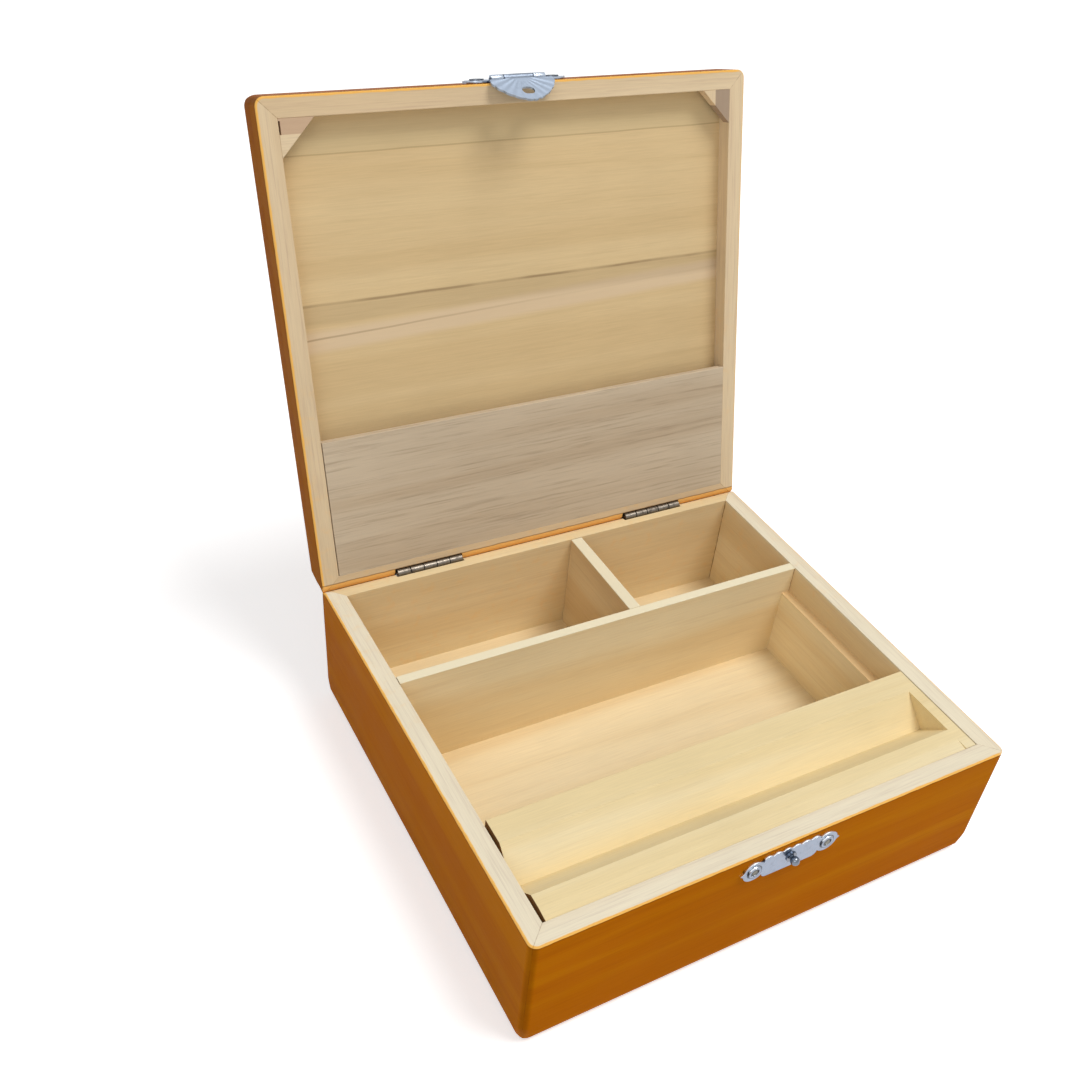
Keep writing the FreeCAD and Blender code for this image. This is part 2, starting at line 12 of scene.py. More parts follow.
# Sizes of the CAD model that the stain and the grain need
HALF_WIDTH = 0.100
HALF_DEPTH = 0.092
INNER_HALF_WIDTH = 0.0923
INNER_HALF_DEPTH = 0.0843
FLOOR_TOP = 0.0092
CASE_RIM_Z = 0.0555
LEDGE_TOP_Z = 0.0424
LID_RIM_Z = 0.0556
LID_BOARD_Z = 0.0624
FRONT_CORNER_RADIUS = 0.0032
BACK_CORNER_RADIUS = 0.0010
CLASP_X = -0.0005
CLASP_NAIL_X = 0.0155
CATCH_Z = 0.0485
HASP_Z = 0.0622
HINGE_AXIS = Vector((0.0, 0.0899, 0.05555))
LID_OPEN = math.radians(105.2)

# The open tongue, turned back to where its plate is upright with its pivot at the origin
TONGUE_TURN = math.radians(69.7)
TONGUE_CENTRE = Vector((-0.0013, 0.139275, 0.232132))

# Camera, solved from the photograph's own corners and edges
CAMERA_PLACE = Vector((-0.21346, -0.26369, 0.36387))
CAMERA_RIGHT = Vector((0.86503808, -0.48998864, 0.10779727))
CAMERA_DOWN = Vector((-0.24196597, -0.59567361, -0.76591476))
CAMERA_FORWARD = Vector((0.43950152, 0.63646217, -0.63384093))
CAMERA_CLIP = 0.01
FOCAL_PIXELS = 1181.456
CENTRE_PIXELS = (595.56, 596.80)
IMAGE_PIXELS = 1080
SENSOR_MM = 36.0

# Lamps: place, size and power
KEY_LAMP = ((0.75, -0.60, 2.45), 1.2, 38.0)
FILL_LAMP = ((-1.60, -1.60, 1.80), 1.8, 13.0)
LAMP_TARGET = (0, 0, 0.08)
WORLD_STRENGTH = 0.33
SEEN_WORLD_STRENGTH = 1.0
FLOOR_REACH = 4.0
FLOOR_GLOW = 0.50
FLOOR_ROUGHNESS = 0.9
FLOOR_SPECULAR = 0.1


def srgb(red, green, blue):
    """A colour given as 8-bit sRGB values, as linear RGBA."""
    linear = []
    for value in (red, green, blue):
        level = value / 255
        linear.append(level / 12.92 if level <= 0.04045 else ((level + 0.055) / 1.055) ** 2.4)
    return (*linear, 1.0)


WHITE = (1, 1, 1, 1)
FLOOR_GREY = srgb(248, 248, 248)

# Wood colours. Each set is the pale tone, the deep tone and the streak tone.
CASE_BARE = (srgb(243, 224, 184), srgb(234, 209, 163), srgb(206, 174, 128))
DIVIDER_BARE = (srgb(248, 230, 190), srgb(240, 214, 166), srgb(206, 172, 124))
LID_BARE = (srgb(226, 200, 154), srgb(217, 189, 142), srgb(188, 158, 114))
LID_RIM_BARE = (srgb(230, 208, 172), srgb(218, 192, 154), srgb(196, 166, 138))
RIM_BARE = (srgb(240, 229, 203), srgb(231, 213, 184), srgb(204, 186, 168))
REAR_BARE = (srgb(228, 206, 166), srgb(218, 190, 146), srgb(190, 156, 112))
BOARD_BARE = (srgb(208, 190, 164), srgb(196, 175, 147), srgb(150, 128, 104))
TRAY_BARE = (srgb(243, 229, 192), srgb(238, 217, 168), srgb(220, 192, 142))
STAIN_FRONT = (srgb(191, 115, 0), srgb(182, 102, 0), srgb(152, 74, 0))
STAIN_LEFT = (srgb(187, 111, 4), srgb(178, 100, 4), srgb(158, 80, 4))
STAIN_LID = (srgb(162, 94, 2), srgb(154, 84, 2), srgb(132, 66, 2))
STAIN_EDGE = srgb(250, 192, 100)
# A darker stain tone, used under the rim, and as painted shade on the upright corners and in the
# lid's back seam
STAIN_DARK_AND_SHADE = srgb(112, 62, 0)
SEAM_TONE = srgb(246, 188, 108)
# Painted light on the tray ledges' upper faces
LEDGE_TOP_PAINTED_LIGHT = srgb(250, 214, 158)
TOP_EDGE_PALE = srgb(242, 234, 206)
# The tray's end grain, deepened into painted shade for the dark gap beside the left wall
END_GRAIN_AND_SHADE = srgb(140, 104, 68)
GUSSET_PINK = srgb(196, 162, 134)
GUSSET_GREY = srgb(160, 138, 120)
JOINT_BROWN = srgb(150, 116, 76)
STREAK_BROWN = srgb(134, 108, 76)
BAND_PINK = srgb(226, 202, 172)
SAPWOOD = srgb(214, 196, 152)

# Bare wood has almost no gloss, and the oil stain has even less
BARE_SPECULAR = 0.03
STAINED_SPECULAR = 0.004
WOOD_ROUGHNESS = (0.55, 0.72)
VARNISH_SMOOTHING = 0.38

# Grain. Noise scales are per metre, across the grain.
GRAIN_STRETCH = 0.032
GRAIN_SHIFT = (1.0, 0.7, 1.3)
BAND_SCALE = 42.0
STAIN_BAND_SCALE = 60.0
LONG_STREAK_SCALE = 230.0
FINE_STREAK_SCALE = 1150.0
FIBRE_SCALE = 2600.0
CLOUD_SCALE = 18.0
RELIEF_SCALE = 1500.0
PORE_SCALE = 2600.0
SCUFF_SCALE = 60.0
BAND_EDGE = (0.36, 0.64)
LONG_STREAK_EDGE = (0.52, 0.80)
FINE_STREAK_EDGE = (0.48, 0.74)
PORE_EDGE = (0.60, 0.72)
PORE_SHARE = 0.5
FIBRE_TONES = (0.955, 1.035)
CLOUD_TONES = (0.965, 1.03)
BARE_STREAKS = 0.30
STAIN_STREAKS = 0.34
STAIN_FINE_STREAKS = 0.22
INNER_FINE_STREAKS = 0.15
WOOD_BUMP = (0.35, 0.00006)

# Stain on the outer faces, measured inward from the outside or from the rim
OUTSIDE_INSET = (0.0036, 0.0032)
BOARD_STAIN_DEPTH = (0.00001, 0.00030)
STAIN_WANDER = (240.0, 0.00012)
EDGE_LINE_INSET = (0.00100, 0.00050)
STAIN_DEPTH = (0.00028, 0.00048)
INNER_DEPTH = (0.0004, 0.0010)
UNDER_RIM_DEPTH = (0.0016, 0.0005)
UNDER_RIM_SHADE = 0.45
# Painted shade along the upright rounded corners, where both insets are small
CORNER_INSET = (0.0030, 0.0014)
CORNER_PAINTED_SHADE = 0.40

# The right edge of the case and the lid, where the stain starts lower and the edge line is faint
RUBBED_X = (0.0960, 0.0985)
RUBBED_DEPTH = 0.0005
RUBBED_EDGE_LINE = 0.3

# The rounded back edges, which meet when the lid is open
SEAM_START_Y = 0.0878
SEAM_Y = (SEAM_START_Y - 0.0002, SEAM_START_Y + 0.0003)
# A painted shadow line where the lid's rounded back edge starts, for the gap between lid and case
SEAM_SHADOW_LINE = (SEAM_START_Y, 0.0001, 0.0003)
SEAM_SHADOW_SHARE = 0.6
BACK_EDGE_Y = (0.0890, 0.0885)
BACK_EDGE_DEPTH = (0.0011, 0.0014)
BACK_STAIN_Y = (0.0908, 0.0917)

# Joints between pieces of wood
MITRE_EDGE = (0.00030, 0.00006)
MITRE_BREAK_SCALE = 420.0
MITRE_BREAK_NOISE = (0.4, 0.6)
MITRE_SHADES = (0.08, 0.40)
JOINT_WANDER = (300.0, 0.00025)
JOINT_SHADE = 0.75
DIVIDER_END_X = (INNER_HALF_WIDTH - 0.0006, INNER_HALF_WIDTH - 0.0002)
WALL_CORNER_LINE = (INNER_HALF_DEPTH, 0.0002, 0.0004)

# Marks on single boards
DIVIDER_TOP_EDGE = (0.05490, 0.05520)
LEDGE_TOP_EDGE = (LEDGE_TOP_Z - 0.0005, LEDGE_TOP_Z - 0.0001)
# How much paler the dividers' planed upper edges are, and how much painted light lightens the ledges'
# upper faces
PALE_TOP_SHARE = 0.8
TRAY_LEFT_END_X = (-0.09082, -0.09088)
GUSSET_LEFT_Y = (-0.0796, -0.0799)
GUSSET_LEFT_SHARE = 0.75
GUSSET_RIGHT_X = (0.0858, 0.0863)
GUSSET_RIGHT_SHARE = 0.85

# Figure of the lid's board, given by Y with the lid shut
PANEL_RISE = 0.035
PANEL_DRIFT_SCALE = 14.0
PANEL_DRIFT = 0.0004
PATCH_SCALE = 34.0
PATCH_STRETCH = (1, 0.3, 0)
PATCH_SHIFT = (3, 0, 0)
PATCH_EDGE = (0.35, 0.62)
SAPWOOD_Y = (-0.0716, -0.0722)
SAPWOOD_SHARE = 0.30
PINK_BAND = (-0.0098, 0.0022, 0.0034)
PINK_BAND_SHARE = 0.60
BROAD_SHADE = (-0.0165, 0.0022, 0.0030)
BROAD_SHADE_SHARE = 0.22
PANEL_JOINT = (-0.0719, 0.00008, 0.00035)
PANEL_JOINT_SHARE = 0.35
MAIN_STREAK = (-0.0202, 0.00016, 0.00062)
MAIN_STREAK_SHARES = (0.28, 0.62)
LOWER_STREAK = (-0.0109, 0.00010, 0.00045)
LOWER_STREAK_X = (-0.09, 0.02)
LOWER_STREAK_SHARES = (0.45, 0.06)

# Metals. Each set is the plain tone, the dark tone, the range of roughness and how dirty it is.
CATCH_PLATING = (srgb(140, 152, 170), srgb(44, 48, 56), (0.16, 0.28), 0.16)
HASP_PLATING = (srgb(176, 186, 200), srgb(56, 60, 68), (0.20, 0.34), 0.16)
STUD_PLATING = (srgb(118, 126, 138), srgb(30, 32, 36), (0.08, 0.16), 0.30)
TONGUE_PLATING = (srgb(158, 170, 186), srgb(96, 102, 112), (0.42, 0.55), 0.20)
NAIL_PLATING = (srgb(112, 112, 104), srgb(48, 46, 42), (0.25, 0.45), 0.7)
HINGE_PLATING = (srgb(118, 110, 100), srgb(52, 44, 38), (0.28, 0.46), 0.8)
# A painted highlight, near white, for the catch plate's upward faces
PAINTED_EDGE_HIGHLIGHT = srgb(240, 246, 252)
ROLLING_STRETCH = (0.12, 1.0, 1.0)
ROLLING_SCALE = 4200.0
ROLLING_BUMP = (0.15, 0.00002)
DIRT_SCALE = 420.0
DIRT_EDGE = (0.45, 0.75)
UPWARD_HIGHLIGHT_EDGE = (0.25, 0.60)
NAIL_RING = (0.0028, 0.00016, 0.00030)
NAIL_HOLLOW = (0.0014, 0.00022, 0.00030)
NAIL_RING_SHARE = 0.85
KNUCKLE_EDGE = (0.0022, 0.0012)
KNUCKLE_SHARE = 0.60
FLUTE_COUNT = 22.0
FLUTE_EDGE = (0.003, 0.006)
FLUTE_BUMP = (0.5, 0.00012)
WELD_DISTANCE = 0.000001
PLATE_EDGE_WIDTH = 0.0004
PLATE_EDGE_SEGMENTS = 2
PLATE_EDGE_ANGLE = math.radians(40)

# Noise mostly keeps between these two values
NOISE_LOW = 0.3
NOISE_HIGH = 0.7


class Nodes:
    """Short ways to add shader nodes to one material."""

    def __init__(self, name):
        self.material = bpy.data.materials.new(name)
        self.material.use_nodes = True
        self.tree = self.material.node_tree
        self.shader = self.tree.nodes["Principled BSDF"]

    def link(self, source, target):
        self.tree.links.new(source, target)

    def put(self, value, socket):
        """Link a socket, or set a plain value."""
        if isinstance(value, bpy.types.NodeSocket):
            self.link(value, socket)
        else:
            socket.default_value = value

    def math(self, operation, first, second=0.0):
        node = self.tree.nodes.new("ShaderNodeMath")
        node.operation = operation
        self.put(first, node.inputs[0])
        self.put(second, node.inputs[1])
        return node.outputs[0]

    def share(self, mask, amount):
        """A mask at part of its strength."""
        return self.math("MULTIPLY", mask, amount)

    def ramp(self, value, low, high):
        """0 at low and 1 at high, with a soft start and end."""
        node = self.tree.nodes.new("ShaderNodeMapRange")
        node.interpolation_type = "SMOOTHSTEP"
        self.put(value, node.inputs["Value"])
        node.inputs["From Min"].default_value = low
        node.inputs["From Max"].default_value = high
        return node.outputs["Result"]

    def scaled(self, value, low, high, to_low, to_high):
        """The range from low to high, stretched evenly to another range."""
        node = self.tree.nodes.new("ShaderNodeMapRange")
        self.put(value, node.inputs["Value"])
        node.inputs["From Min"].default_value = low
        node.inputs["From Max"].default_value = high
        node.inputs["To Min"].default_value = to_low
        node.inputs["To Max"].default_value = to_high
        return node.outputs["Result"]

    def spread(self, noise, to_low, to_high):
        """Noise stretched to a range."""
        return self.scaled(noise, NOISE_LOW, NOISE_HIGH, to_low, to_high)

    def wander(self, place, scale, reach):
        """A slow drift to both sides of a straight line."""
        return self.spread(self.noise(place, scale, detail=3.0), -reach, reach)

    def mix(self, factor, first, second, blend="MIX"):
        """Two colours mixed. On this node, inputs 6 and 7 and output 2 are the colours."""
        node = self.tree.nodes.new("ShaderNodeMix")
        node.data_type = "RGBA"
        node.blend_type = blend
        self.put(factor, node.inputs[0])
        self.put(first, node.inputs[6])
        self.put(second, node.inputs[7])
        return node.outputs[2]

    def noise(self, vector, scale, detail, roughness=0.5, distortion=0.0):
        node = self.tree.nodes.new("ShaderNodeTexNoise")
        self.put(vector, node.inputs["Vector"])
        node.inputs["Scale"].default_value = scale
        node.inputs["Detail"].default_value = detail
        node.inputs["Roughness"].default_value = roughness
        node.inputs["Distortion"].default_value = distortion
        return node.outputs["Fac"]

    def mapping(self, vector, place=(0, 0, 0), turn=(0, 0, 0), scale=(1, 1, 1)):
        node = self.tree.nodes.new("ShaderNodeMapping")
        self.put(vector, node.inputs["Vector"])
        node.inputs["Location"].default_value = place
        node.inputs["Rotation"].default_value = turn
        node.inputs["Scale"].default_value = scale
        return node.outputs["Vector"]

    def bump(self, height, strength, distance, normal=None):
        node = self.tree.nodes.new("ShaderNodeBump")
        node.inputs["Strength"].default_value = strength
        node.inputs["Distance"].default_value = distance
        self.put(height, node.inputs["Height"])
        if normal is not None:
            self.link(normal, node.inputs["Normal"])
        return node.outputs["Normal"]

    def split(self, vector):
        node = self.tree.nodes.new("ShaderNodeSeparateXYZ")
        self.link(vector, node.inputs[0])
        return node.outputs

    def grey(self, value):
        """A value as a colour."""
        node = self.tree.nodes.new("ShaderNodeCombineColor")
        for socket in node.inputs[:3]:
            self.link(value, socket)
        return node.outputs[0]

    def distance(self, across, along):
        """How far a place is from the origin of two directions."""
        across_squared = self.math("MULTIPLY", across, across)
        along_squared = self.math("MULTIPLY", along, along)
        return self.math("SQRT", self.math("ADD", across_squared, along_squared))

    def line(self, across, middle, half_width, soft_edge):
        """1 along a line at a given place, fading out on both sides."""
        apart = self.math("ABSOLUTE", self.math("SUBTRACT", across, middle))
        return self.ramp(apart, half_width + soft_edge, half_width)

    def place(self):
        """Places in the rest frame, in metres."""
        return self.tree.nodes.new("ShaderNodeTexCoord").outputs["Object"]

    def surface_direction(self):
        """The way the surface faces, in the rest frame."""
        return self.tree.nodes.new("ShaderNodeTexCoord").outputs["Normal"]

    def shut_lid_place(self):
        """Places on the open lid, turned to where they are with the lid shut."""
        turned = Matrix.Rotation(LID_OPEN, 3, "X") @ HINGE_AXIS
        return self.mapping(self.place(), HINGE_AXIS - turned, (LID_OPEN, 0, 0))

    def tongue_place(self):
        """Places on the open tongue, turned to where its plate is upright, from its pivot."""
        turned = Matrix.Rotation(TONGUE_TURN, 3, "X") @ TONGUE_CENTRE
        return self.mapping(self.place(), -turned, (TONGUE_TURN, 0, 0))


# Wood
def grain_place(nodes, place, along, shift):
    """Places stretched along the grain, so that noise makes long fibres."""
    scale = [1.0, 1.0, 1.0]
    scale["XYZ".index(along)] = GRAIN_STRETCH
    return nodes.mapping(place, [part * shift for part in GRAIN_SHIFT], scale=scale)


def wood_tone(nodes, stretched, place, colours, streaks, fine_streaks, bands=BAND_SCALE):
    """Broad growth bands, long streaks, fine streaks and fibres, as one colour."""
    pale, deep, streak = colours
    band_noise = nodes.noise(stretched, bands, detail=3.0, distortion=0.6)
    tone = nodes.mix(nodes.ramp(band_noise, *BAND_EDGE), pale, deep)
    long_noise = nodes.noise(stretched, LONG_STREAK_SCALE, detail=5.0, roughness=0.62, distortion=0.2)
    tone = nodes.mix(nodes.share(nodes.ramp(long_noise, *LONG_STREAK_EDGE), streaks), tone, streak)
    fine_noise = nodes.noise(stretched, FINE_STREAK_SCALE, detail=4.0, roughness=0.6, distortion=0.1)
    fine_mask = nodes.share(nodes.ramp(fine_noise, *FINE_STREAK_EDGE), fine_streaks)
    tone = nodes.mix(fine_mask, tone, streak)
    fibre_noise = nodes.noise(stretched, FIBRE_SCALE, detail=3.0, roughness=0.6)
    fibre_tone = nodes.spread(fibre_noise, *FIBRE_TONES)
    tone = nodes.mix(1.0, tone, nodes.grey(fibre_tone), "MULTIPLY")
    cloud_tone = nodes.spread(nodes.noise(place, CLOUD_SCALE, detail=2.0), *CLOUD_TONES)
    return nodes.mix(1.0, tone, nodes.grey(cloud_tone), "MULTIPLY")


def insets(nodes, place):
    """How far a place lies inside the box's left or right face, and its front or back face."""
    x, y, _ = nodes.split(place)
    inset_x = nodes.math("SUBTRACT", HALF_WIDTH, nodes.math("ABSOLUTE", x))
    inset_y = nodes.math("SUBTRACT", HALF_DEPTH, nodes.math("ABSOLUTE", y))
    return inset_x, inset_y


def rounded_inset(nodes, place):
    """The inset from the rim's outer plan with its rounded corners, up to their radius."""
    inset_x, inset_y = insets(nodes, place)
    _, y, _ = nodes.split(place)
    at_back = nodes.math("GREATER_THAN", y, 0.0)
    radius = nodes.scaled(at_back, 0.0, 1.0, FRONT_CORNER_RADIUS, BACK_CORNER_RADIUS)
    over_x = nodes.math("MAXIMUM", nodes.math("SUBTRACT", radius, inset_x), 0.0)
    over_y = nodes.math("MAXIMUM", nodes.math("SUBTRACT", radius, inset_y), 0.0)
    return nodes.math("SUBTRACT", radius, nodes.distance(over_x, over_y))


def outside_mask(nodes, place):
    """1 on the outer faces and their rounded corners, 0 on inner faces."""
    nearest = nodes.math("MINIMUM", *insets(nodes, place))
    return nodes.ramp(nearest, *OUTSIDE_INSET)


def rim_depth(nodes, place, on_lid):
    """How far a place is from the level of the rim, into the case or into the lid."""
    _, _, z = nodes.split(place)
    if on_lid:
        return nodes.math("SUBTRACT", z, LID_RIM_Z)
    return nodes.math("SUBTRACT", CASE_RIM_Z, z)


def painted_corner_shade(nodes, place, stain):
    """The stain, darker along the upright corners as painted shade."""
    farthest = nodes.math("MAXIMUM", *insets(nodes, place))
    at_corner = nodes.share(nodes.ramp(farthest, *CORNER_INSET), CORNER_PAINTED_SHADE)
    return nodes.mix(at_corner, stain, STAIN_DARK_AND_SHADE)


def seam_tone(nodes, back, tone):
    """Ochre on the lid's rounded back edge, with a painted shadow line where it starts, for the gap
    against the case.
    """
    tone = nodes.mix(nodes.ramp(back, *SEAM_Y), tone, SEAM_TONE)
    seam_shadow = nodes.share(nodes.line(back, *SEAM_SHADOW_LINE), SEAM_SHADOW_SHARE)
    return nodes.mix(seam_shadow, tone, STAIN_DARK_AND_SHADE)


def stained_side(nodes, place, bare, stain, on_lid):
    """Stain outside, a pale orange line on the rim's edge, and bare wood on the rim and inside."""
    wander = nodes.wander(place, *STAIN_WANDER)
    depth = nodes.math("ADD", rim_depth(nodes, place, on_lid), wander)
    inset = nodes.math("ADD", rounded_inset(nodes, place), wander)
    x, y, _ = nodes.split(place)
    back = nodes.math("ADD", y, wander)
    rubbed = nodes.ramp(x, *RUBBED_X)
    depth = nodes.math("SUBTRACT", depth, nodes.share(rubbed, RUBBED_DEPTH))
    edge_strength = nodes.scaled(rubbed, 0.0, 1.0, 1.0, RUBBED_EDGE_LINE)
    edge_line = nodes.share(nodes.ramp(inset, *EDGE_LINE_INSET), edge_strength)
    tone = nodes.mix(edge_line, bare, STAIN_EDGE)
    if on_lid:
        tone = seam_tone(nodes, back, tone)
    outside = nodes.math("MULTIPLY", outside_mask(nodes, place), nodes.ramp(depth, *STAIN_DEPTH))
    below_back_edge = nodes.ramp(depth, *BACK_EDGE_DEPTH)
    off_back_edge = nodes.math("MAXIMUM", nodes.ramp(back, *BACK_EDGE_Y), below_back_edge)
    outside = nodes.math("MULTIPLY", outside, off_back_edge)
    outside = nodes.math("MAXIMUM", outside, nodes.ramp(back, *BACK_STAIN_Y))
    under_rim = nodes.share(nodes.ramp(depth, *UNDER_RIM_DEPTH), UNDER_RIM_SHADE)
    stain = nodes.mix(under_rim, stain, STAIN_DARK_AND_SHADE)
    tone = nodes.mix(outside, tone, stain)
    return nodes.mix(mitre_mask(nodes, place), tone, JOINT_BROWN, "MULTIPLY"), outside


def mitre_mask(nodes, place):
    """The thin, broken joint line where two sides of a frame meet at a corner."""
    inset_x, inset_y = insets(nodes, place)
    apart = nodes.math("ABSOLUTE", nodes.math("SUBTRACT", inset_x, inset_y))
    breaks = nodes.noise(place, MITRE_BREAK_SCALE, detail=2.0)
    shade = nodes.scaled(breaks, *MITRE_BREAK_NOISE, *MITRE_SHADES)
    return nodes.math("MULTIPLY", nodes.ramp(apart, *MITRE_EDGE), shade)


def panel_figure(nodes, place, tone):
    """The board joint, the dark streaks and the paler band across the inside of the lid."""
    x, y, _ = nodes.split(place)
    drift_noise = nodes.noise(nodes.mapping(place, scale=(1, 0, 0)), PANEL_DRIFT_SCALE, detail=2.0)
    across = nodes.math("ADD", y, nodes.spread(drift_noise, -PANEL_DRIFT, PANEL_DRIFT))
    rising = nodes.math("ADD", across, nodes.math("MULTIPLY", x, PANEL_RISE))
    patch_place = nodes.mapping(place, PATCH_SHIFT, scale=PATCH_STRETCH)
    patchy = nodes.ramp(nodes.noise(patch_place, PATCH_SCALE, detail=2.0), *PATCH_EDGE)
    tone = nodes.mix(nodes.share(nodes.ramp(across, *SAPWOOD_Y), SAPWOOD_SHARE), tone, SAPWOOD)
    tone = nodes.mix(nodes.share(nodes.line(rising, *PINK_BAND), PINK_BAND_SHARE), tone, BAND_PINK)
    broad_shade = nodes.share(nodes.line(across, *BROAD_SHADE), BROAD_SHADE_SHARE)
    tone = nodes.mix(broad_shade, tone, STREAK_BROWN)
    joint = nodes.share(nodes.line(across, *PANEL_JOINT), PANEL_JOINT_SHARE)
    tone = nodes.mix(joint, tone, JOINT_BROWN)
    main_share = nodes.scaled(patchy, 0.0, 1.0, *MAIN_STREAK_SHARES)
    tone = nodes.mix(nodes.share(nodes.line(across, *MAIN_STREAK), main_share), tone, STREAK_BROWN)
    lower_share = nodes.scaled(x, *LOWER_STREAK_X, *LOWER_STREAK_SHARES)
    return nodes.mix(nodes.share(nodes.line(rising, *LOWER_STREAK), lower_share), tone, STREAK_BROWN)


def left_gusset_figure(nodes, place, tone):
    """The pinker block glued to the front of the left gusset."""
    _, y, _ = nodes.split(place)
    block = nodes.share(nodes.ramp(y, *GUSSET_LEFT_Y), GUSSET_LEFT_SHARE)
    return nodes.mix(block, tone, GUSSET_PINK)


def right_gusset_figure(nodes, place, tone):
    """The greyer block glued to the outer end of the right gusset."""
    x, _, _ = nodes.split(place)
    block = nodes.share(nodes.ramp(x, *GUSSET_RIGHT_X), GUSSET_RIGHT_SHARE)
    return nodes.mix(block, tone, GUSSET_GREY)


def divider_end_joints(nodes, place):
    """Dark hairlines where a divider's ends meet the side walls."""
    x, _, _ = nodes.split(place)
    across = nodes.math("ADD", nodes.math("ABSOLUTE", x), nodes.wander(place, *JOINT_WANDER))
    return nodes.share(nodes.ramp(across, *DIVIDER_END_X), JOINT_SHADE)


def wall_corner_joints(nodes, place):
    """Dark hairlines down a side wall's inner face, where it meets the front and back walls."""
    _, y, _ = nodes.split(place)
    along_wall = nodes.math("ADD", nodes.math("ABSOLUTE", y), nodes.wander(place, *JOINT_WANDER))
    return nodes.share(nodes.line(along_wall, *WALL_CORNER_LINE), JOINT_SHADE)


def divider_figure(nodes, place, tone):
    """A divider's planed upper edge, paler than its faces, and its end joints."""
    _, _, z = nodes.split(place)
    tone = nodes.mix(divider_end_joints(nodes, place), tone, JOINT_BROWN)
    top = nodes.share(nodes.ramp(z, *DIVIDER_TOP_EDGE), PALE_TOP_SHARE)
    return nodes.mix(top, tone, TOP_EDGE_PALE)


def ledge_painted_light(nodes, place, tone):
    """A ledge's upper face, made paler as painted light."""
    _, _, z = nodes.split(place)
    top = nodes.share(nodes.ramp(z, *LEDGE_TOP_EDGE), PALE_TOP_SHARE)
    return nodes.mix(top, tone, LEDGE_TOP_PAINTED_LIGHT)


def tray_end_grain_and_shade(nodes, place, tone):
    """The tray's left end face, darker: its end grain, deepened with painted shade for the gap beside
    the left wall.
    """
    x, _, _ = nodes.split(place)
    return nodes.mix(nodes.ramp(x, *TRAY_LEFT_END_X), tone, END_GRAIN_AND_SHADE)


def finish_wood(nodes, stretched, place, tone, specular, varnished=None):
    """Roughness that follows scuffs and stain, and fine fibre and pore relief."""
    fibres = nodes.noise(stretched, RELIEF_SCALE, detail=4.0, roughness=0.65)
    pores = nodes.ramp(nodes.noise(stretched, PORE_SCALE, detail=2.0), *PORE_EDGE)
    relief = nodes.math("SUBTRACT", fibres, nodes.share(pores, PORE_SHARE))
    nodes.link(tone, nodes.shader.inputs["Base Color"])
    nodes.link(nodes.bump(relief, *WOOD_BUMP), nodes.shader.inputs["Normal"])
    scuffs = nodes.noise(place, SCUFF_SCALE, detail=4.0, roughness=0.6)
    roughness = nodes.spread(scuffs, *WOOD_ROUGHNESS)
    if varnished is not None:
        smoother = nodes.math("SUBTRACT", 1.0, nodes.share(varnished, VARNISH_SMOOTHING))
        roughness = nodes.math("MULTIPLY", roughness, smoother)
    nodes.link(roughness, nodes.shader.inputs["Roughness"])
    nodes.shader.inputs["Specular IOR Level"].default_value = specular


def bare_wood(name, along, shift, colours, fine_streaks, on_lid=False, figure=None):
    """Bare, sanded wood, with what is special to one board as its figure."""
    nodes = Nodes(name)
    place = nodes.shut_lid_place() if on_lid else nodes.place()
    stretched = grain_place(nodes, place, along, shift)
    tone = wood_tone(nodes, stretched, place, colours, BARE_STREAKS, fine_streaks)
    if figure is not None:
        tone = figure(nodes, place, tone)
    finish_wood(nodes, stretched, place, tone, BARE_SPECULAR)
    return nodes.material


def wall_bare_tone(nodes, stretched, place, along, rim_tone):
    """A case wall's bare wood: its own tone on the rim, and the case's tone on the inner face."""
    inner = wood_tone(nodes, stretched, place, CASE_BARE, BARE_STREAKS, INNER_FINE_STREAKS)
    if along == "Y":
        inner = nodes.mix(wall_corner_joints(nodes, place), inner, JOINT_BROWN)
    below_rim = nodes.ramp(rim_depth(nodes, place, False), *INNER_DEPTH)
    return nodes.mix(below_rim, rim_tone, inner)


def board_stain_mask(nodes, place, depth):
    """1 on the outer side of the floor or the lid's board, and on its edges."""
    return nodes.math("MAXIMUM", nodes.ramp(depth, *BOARD_STAIN_DEPTH), outside_mask(nodes, place))


def stained_wood(name, along, shift, part, bare_colours, stain_colours, fine_streaks, on_lid=False):
    """Amber stain and varnish outside, bare wood inside and on the rims."""
    nodes = Nodes(name)
    place = nodes.shut_lid_place() if on_lid else nodes.place()
    stretched = grain_place(nodes, place, along, shift)
    _, _, z = nodes.split(place)
    bare = wood_tone(nodes, stretched, place, bare_colours, BARE_STREAKS, fine_streaks)
    stain = wood_tone(
        nodes, stretched, place, stain_colours, STAIN_STREAKS, STAIN_FINE_STREAKS, STAIN_BAND_SCALE
    )
    stain = painted_corner_shade(nodes, place, stain)
    if part == "side":
        if not on_lid:
            bare = wall_bare_tone(nodes, stretched, place, along, bare)
        tone, stained = stained_side(nodes, place, bare, stain, on_lid)
    elif part == "floor":
        stained = board_stain_mask(nodes, place, nodes.math("SUBTRACT", FLOOR_TOP, z))
        tone = nodes.mix(stained, bare, stain)
    else:
        stained = board_stain_mask(nodes, place, nodes.math("SUBTRACT", z, LID_BOARD_Z))
        tone = nodes.mix(stained, panel_figure(nodes, place, bare), stain)
    finish_wood(nodes, stretched, place, tone, STAINED_SPECULAR, stained)
    return nodes.material


